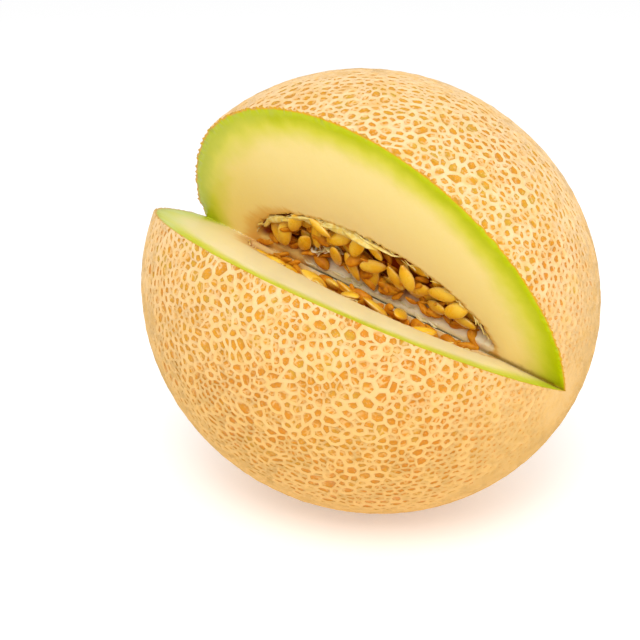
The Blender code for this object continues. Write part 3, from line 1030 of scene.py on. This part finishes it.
def seed_material(colours):
    """Wet seed coat: smooth, honey-coloured and glossy, darker towards the pointed end."""
    material, tree, shader = new_material(
        "wet melon seed coat", Coat_Weight=0.35, Coat_Roughness=0.12, Subsurface_Weight=0.15,
        Subsurface_Radius=(1.0, 0.6, 0.2), Subsurface_Scale=2.0 * MM,
    )
    paint = palette(colours)
    drawn = {
        name: add_node(tree, "ShaderNodeAttribute", attribute_name=name).outputs["Fac"]
        for name in ("along", "edge")
    }
    broad = object_noise(tree, 6.0 * MM, 2.0)
    colour = lay_over(tree, paint["seed"], paint["seed_pale"], broad, 0.35, 0.65)
    colour = lay_over(tree, colour, paint["seed_tip"], drawn["along"], 0.45, 1.0, 0.8)
    colour = lay_over(tree, colour, paint["seed_edge"], drawn["edge"], 0.88, 1.0, 0.55)
    tree.links.new(colour, shader.inputs["Base Color"])
    film = object_noise(tree, 1.6 * MM)
    vary_gloss(tree, shader, film, 0.22, 0.42)
    raise_grain(tree, shader, film, 0.15, 0.2 * MM)
    return material


def tissue_material(name, colour, tip):
    """Torn wet placenta: pale soft strands that let light through, with a moist sheen."""
    material, tree, shader = new_material(
        name, Specular_IOR_Level=0.2, Subsurface_Weight=0.3, Subsurface_Radius=(1.0, 0.8, 0.4),
        Subsurface_Scale=2.0 * MM,
    )
    mottled = lay_over(tree, tuple(colour), tuple(tip), object_noise(tree, 2.2 * MM), 0.36, 0.66)
    tree.links.new(mottled, shader.inputs["Base Color"])
    grain = object_noise(tree, 0.6 * MM, 3.0, 0.6)
    vary_gloss(tree, shader, grain, 0.4, 0.6)
    raise_grain(tree, shader, grain, 0.2, 0.2 * MM)
    return material


# Operators


class MELON_OT_body(bpy.types.Operator):
    """Grow the netted rind and fill in the cut flesh with its seed hollows"""

    bl_idname = "melon.body"
    bl_label = "Rind and flesh"

    def execute(self, context):
        shape = context.scene.melon_shape
        netting = context.scene.melon_netting
        colours = context.scene.melon_colours
        rind = rind_material(colours)
        values = {
            "Length": shape.fruit_length,
            "Width": shape.fruit_width,
            "Closest": netting.closest_cells,
            "Share kept": netting.share_kept,
            "Large cell": netting.large_cell ** 2,
            "Ridge": netting.ridge_width,
            "Slope": netting.slope_width,
            "Height": netting.ridge_height,
            "Depth": netting.skin_depth,
            "Patch": netting.blossom_patch,
            "Blossom end": blossom_end(shape),
            "Seed": netting.random_seed,
            "Material": rind,
        }
        net = grown_mesh("rind_net", net_tree(), values)
        bm = bmesh.new()
        bm.from_mesh(net)
        bpy.data.meshes.remove(net)
        sink_stem_scar(bm, shape)
        frames = cut_wedge(bm, shape)
        names = ("depth", "hollow", "upward", "rim", "core", "slit", "seam", "cork", "near", "stem")
        for name in names:
            bm.verts.layers.float.new(name)
        layers = {name: bm.verts.layers.float[name] for name in names}
        scar = blossom_end(shape)
        stem = stem_end(shape)
        for vert in bm.verts:
            uneven = 4.0 * MM * noise.noise(vert.co / (6.0 * MM))
            away = (vert.co - scar).length + uneven
            vert[layers["cork"]] = smooth_step(16.0 * MM, 8.5 * MM, away)
            vert[layers["near"]] = smooth_step(62.0 * MM, 22.0 * MM, away)
            vert[layers["stem"]] = smooth_step(9.0 * MM, 5.5 * MM, (vert.co - stem).length)
        fill_cut_face(bm, shape, frames[0], -1, 11, layers)
        fill_cut_face(bm, shape, frames[1], 1, 23, layers)
        bmesh.ops.remove_doubles(bm, verts=bm.verts, dist=WELD)
        bmesh.ops.triangulate(bm, faces=[face for face in bm.faces if len(face.verts) > 4])
        bmesh.ops.recalc_face_normals(bm, faces=bm.faces)
        bmesh.ops.transform(bm, matrix=core_frame(shape), verts=bm.verts)
        for vert in bm.verts:
            vert.co.z = max(vert.co.z, 0.0)
        mesh = bpy.data.meshes.new("melon")
        mesh.materials.append(rind)
        mesh.materials.append(flesh_material(colours))
        bm.to_mesh(mesh)
        open_edges = sum(1 for edge in bm.edges if len(edge.link_faces) != 2)
        bm.free()
        if open_edges:
            raise RuntimeError("the melon has %d open edges" % open_edges)
        add_piece("melon", mesh, "netted_rind", "melon_body")
        return {"FINISHED"}


def seed_axes(points):
    """Middle, axes and half sizes of a seed solid, long axis first and pointed end at +X."""
    middle = (points.max(axis=0) + points.min(axis=0)) / 2.0
    values, vectors = np.linalg.eigh(np.cov((points - points.mean(axis=0)).T))
    axes = vectors[:, np.argsort(values)[::-1]]
    if np.linalg.det(axes) < 0.0:
        axes[:, 2] = -axes[:, 2]
    local = (points - middle) @ axes
    low, high = local.min(axis=0), local.max(axis=0)
    middle = middle + axes @ ((low + high) / 2.0)
    local = (points - middle) @ axes
    half = (high - low) / 2.0
    width_ahead = np.abs(local[local[:, 0] > half[0] * 0.3][:, 1]).max()
    width_behind = np.abs(local[local[:, 0] < -half[0] * 0.3][:, 1]).max()
    if width_ahead > width_behind:
        axes[:, 0] = -axes[:, 0]
        axes[:, 1] = -axes[:, 1]
    return middle, axes, half


def seed_mesh(name, middle, axes, half, draw):
    """A lens-shaped seed with a thin edge, a blunt end and a pointed end."""
    bm = bmesh.new()
    for layer in ("along", "edge"):
        bm.verts.layers.float.new(layer)
    along_layer = bm.verts.layers.float["along"]
    edge_layer = bm.verts.layers.float["edge"]
    bmesh.ops.create_uvsphere(bm, u_segments=28, v_segments=18, radius=1.0)
    # The sphere's faces come in another order each time, so they are put in a fixed one.
    slant = Vector((1.0, 3.7, 9.1))
    bm.faces.sort(key=lambda face: face.calc_center_median().dot(slant))
    bmesh.ops.transform(bm, matrix=Matrix.Rotation(math.pi / 2.0, 4, "Y"), verts=bm.verts)
    bend = draw.uniform(-0.10, 0.10)
    swell = draw.uniform(0.92, 1.0)
    for vert in bm.verts:
        x, y, z = vert.co
        ring = math.hypot(y, z)
        side = abs(y) / ring if ring > 1e-6 else 0.0
        narrowing = 1.0 - 0.30 * max(x, 0.0) ** 1.3
        lens = 1.0 - 0.22 * side ** 3
        vert[along_layer] = x
        vert[edge_layer] = side
        vert.co.y = y * narrowing + bend * (1.0 - x * x) * 0.5
        vert.co.z = z * narrowing * swell * lens
        wrinkle = noise.noise(Vector((x * 2.0, y * 2.0 + draw_offset(name), z * 2.0)))
        vert.co *= 1.0 + 0.03 * wrinkle
    turn = Matrix([[*axes[row] * half, middle[row]] for row in range(3)] + [[0, 0, 0, 1]])
    bmesh.ops.transform(bm, matrix=turn, verts=bm.verts)
    bmesh.ops.recalc_face_normals(bm, faces=bm.faces)
    mesh = bpy.data.meshes.new(name)
    bm.to_mesh(mesh)
    bm.free()
    mesh.shade_smooth()
    return mesh


def draw_offset(name):
    """A number that differs from seed to seed."""
    return float(sum(ord(letter) for letter in name))


class MELON_OT_seeds(bpy.types.Operator):
    """Make each loose seed as a fine wet seed in the place of its solid"""

    bl_idname = "melon.seeds"
    bl_label = "Seeds"

    def execute(self, context):
        material = seed_material(context.scene.melon_colours)
        draw = random.Random(5)
        for node in sorted(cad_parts):
            if not node.startswith("seed_"):
                continue
            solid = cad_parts[node].data
            points = np.array([tuple(vert.co) for vert in solid.vertices])
            mesh = seed_mesh("melon_" + node, *seed_axes(points), draw)
            mesh.materials.append(material)
            add_piece("melon_" + node, mesh, "seed_coat", node)
        return {"FINISHED"}


class MELON_OT_tissue(bpy.types.Operator):
    """Hang torn strips round the seed cavity and lay pale strands along the core"""

    bl_idname = "melon.tissue"
    bl_label = "Torn tissue"

    def execute(self, context):
        shape = context.scene.melon_shape
        colours = context.scene.melon_colours
        tree = tissue_tree()
        torn = tissue_material("torn melon placenta", colours.fibre, colours.fibre_tip)
        pale = tissue_material("pale melon core strands", colours.core, colours.fibre)
        pulp = tissue_material("wet seed pulp", colours.pulp, colours.pulp_dark)
        high, low = shape.wedge_high_angle, shape.wedge_low_angle
        length, width = shape.cavity_length / 2.0, shape.cavity_width / 2.0
        # name, angle, side, half length, half width, from, to, strip size in mm, swing, stray,
        # sink and curl in mm, count, seed, material
        layout = (
            ("torn_flaps", high, 1, length - 2.4 * MM, width - 1.9 * MM, 0.22, 0.44,
             (3.8, 1.4, 16.0), 0.10, 0.4, 1.0, 0.9, 9, 3, torn),
            ("torn_strands", high, 1, length - 1.0 * MM, width - 0.7 * MM, 0.03, 0.48,
             (0.6, 0.4, 5.2), 0.45, 0.6, 1.2, 3.0, 60, 8, torn),
            ("low_strands", low, -1, length - 1.0 * MM, width - 0.6 * MM, 0.03, 0.47,
             (0.5, 0.35, 4.2), 0.4, 0.5, 1.2, 5.0, 50, 12, torn),
            ("core_strands", high, 1, length - 16.0 * MM, 3.0 * MM, 0.07, 0.43, (0.8, 0.5, 7.5),
             0.25, 0.7, 0.5, 4.0, 30, 5, pale),
            ("pulp_inner", high, 1, length - 4.0 * MM, 8.5 * MM, 0.02, 0.49, (3.6, 2.2, 8.0), 0.6,
             1.6, 6.5, 2.4, 56, 21, pulp),
            ("pulp_middle", high, 1, length - 7.0 * MM, 17.0 * MM, 0.02, 0.48, (3.6, 2.2, 8.0), 0.7,
             2.4, 7.0, 2.4, 40, 22, pulp),
            ("pulp_low", low, -1, length - 5.0 * MM, 7.6 * MM, 0.02, 0.48, (3.4, 2.2, 7.0), 0.7,
             1.4, 4.4, 2.4, 70, 23, pulp),
            ("placenta_strands", high, 1, length - 25.0 * MM, 15.0 * MM, 0.35, 0.47,
             (0.9, 0.6, 7.0), 0.7, 1.6, 4.0, 5.0, 26, 9, pale),
        )
        for (name, angle, side, long, wide, start, stop, size, swing, stray, sink, curl, count, seed,
                material) in layout:
            values = {
                "Half length": long, "Half width": wide, "From": start, "To": stop,
                "Strip width": size[0] * MM, "Strip thickness": size[1] * MM,
                "Strip length": size[2] * MM, "Swing": swing, "Stray": stray * MM,
                "Sink": sink * MM, "Curl": curl * MM, "Count": count, "Seed": seed, "Material": material,
            }
            mesh = grown_mesh(name, tree, values)
            shift = Matrix.Translation((shape.cavity_shift * side, 0.0, 0.0))
            mesh.transform(core_frame(shape) @ face_frame(shape, angle, side) @ shift)
            add_piece(name, mesh, "cut_flesh")
        return {"FINISHED"}


class MELON_OT_studio(bpy.types.Operator):
    """Set up the white floor, the soft lights and the camera"""

    bl_idname = "melon.studio"
    bl_label = "Studio"

    def execute(self, context):
        scene = context.scene
        studio = scene.melon_studio
        middle = core_frame(scene.melon_shape).translation
        turn, rise = studio.camera_turn, studio.camera_rise
        right = Vector((math.cos(turn), math.sin(turn), 0.0))
        view = Vector((
            -math.sin(turn) * math.cos(rise), math.cos(turn) * math.cos(rise), -math.sin(rise)
        ))
        above = right.cross(view)
        place = middle - studio.side_step * right - studio.down_step * above
        place -= studio.camera_distance * view
        camera = bpy.data.objects.new("camera", bpy.data.cameras.new("camera"))
        scene.collection.objects.link(camera)
        placing = Matrix((right, above, -view)).transposed().to_4x4()
        placing.translation = place
        camera.matrix_world = placing
        camera.data.sensor_width = 36.0
        camera.data.lens = studio.lens
        camera.data.clip_start = 0.01
        scene.camera = camera

        bpy.ops.mesh.primitive_circle_add(vertices=96, radius=studio.floor_radius, fill_type="NGON")
        floor = context.object
        floor.name = "floor"
        paper = new_material(
            "white studio paper", Base_Color=linear("F4F4F4"), Roughness=0.9,
            Specular_IOR_Level=0.0, Emission_Color=linear("FFFFFF"), Emission_Strength=0.30,
        )[0]
        floor.data.materials.append(paper)

        world = bpy.data.worlds.new("studio light")
        world.use_nodes = True
        background = world.node_tree.nodes["Background"]
        background.inputs["Color"].default_value = linear("FFFFFF")
        background.inputs["Strength"].default_value = studio.world_light
        scene.world = world
        back = -view
        key_place = right * -0.1 + back * 0.8 + Vector((0.0, 0.0, 0.62))
        front_place = right * 0.35 + back * 0.85
        self.add_light(scene, "key light", middle, key_place, 0.55, studio.key_power)
        self.add_light(scene, "front light", middle, front_place, 0.7, studio.front_power)
        scene.view_settings.view_transform = "Standard"
        return {"FINISHED"}

    def add_light(self, scene, name, target, offset, size, power):
        """A square soft box that faces the target."""
        light = bpy.data.lights.new(name, "AREA")
        light.size = size
        light.energy = power
        item = bpy.data.objects.new(name, light)
        scene.collection.objects.link(item)
        item.location = target + offset
        item.rotation_euler = (-offset).to_track_quat("-Z", "Y").to_euler()


class MELON_PT_panel(bpy.types.Panel):
    """Sizes, colours and steps of the melon."""

    bl_idname = "MELON_PT_panel"
    bl_label = "Netted melon"
    bl_space_type = "VIEW_3D"
    bl_region_type = "UI"
    bl_category = "Melon"

    def draw(self, context):
        for operator in (MELON_OT_body, MELON_OT_seeds, MELON_OT_tissue, MELON_OT_studio):
            self.layout.operator(operator.bl_idname)
        for group in ("melon_shape", "melon_netting", "melon_colours", "melon_studio"):
            box = self.layout.box()
            settings = getattr(context.scene, group)
            for name in settings.__annotations__:
                box.prop(settings, name)


CLASSES = (
    MelonShape,
    MelonNetting,
    MelonColours,
    MelonStudio,
    MELON_OT_body,
    MELON_OT_seeds,
    MELON_OT_tissue,
    MELON_OT_studio,
    MELON_PT_panel,
)


def register():
    """Register the classes and hang the settings on the scene."""
    for item in CLASSES:
        bpy.utils.register_class(item)
    bpy.types.Scene.melon_shape = bpy.props.PointerProperty(type=MelonShape)
    bpy.types.Scene.melon_netting = bpy.props.PointerProperty(type=MelonNetting)
    bpy.types.Scene.melon_colours = bpy.props.PointerProperty(type=MelonColours)
    bpy.types.Scene.melon_studio = bpy.props.PointerProperty(type=MelonStudio)


def unregister():
    """Take the settings and the classes away again."""
    for name in ("melon_studio", "melon_colours", "melon_netting", "melon_shape"):
        delattr(bpy.types.Scene, name)
    for item in reversed(CLASSES):
        bpy.utils.unregister_class(item)


def main():
    """Make every piece and the studio."""
    register()
    bpy.ops.melon.body()
    bpy.ops.melon.seeds()
    bpy.ops.melon.tissue()
    bpy.ops.melon.studio()


if __name__ == "__main__":
    main()
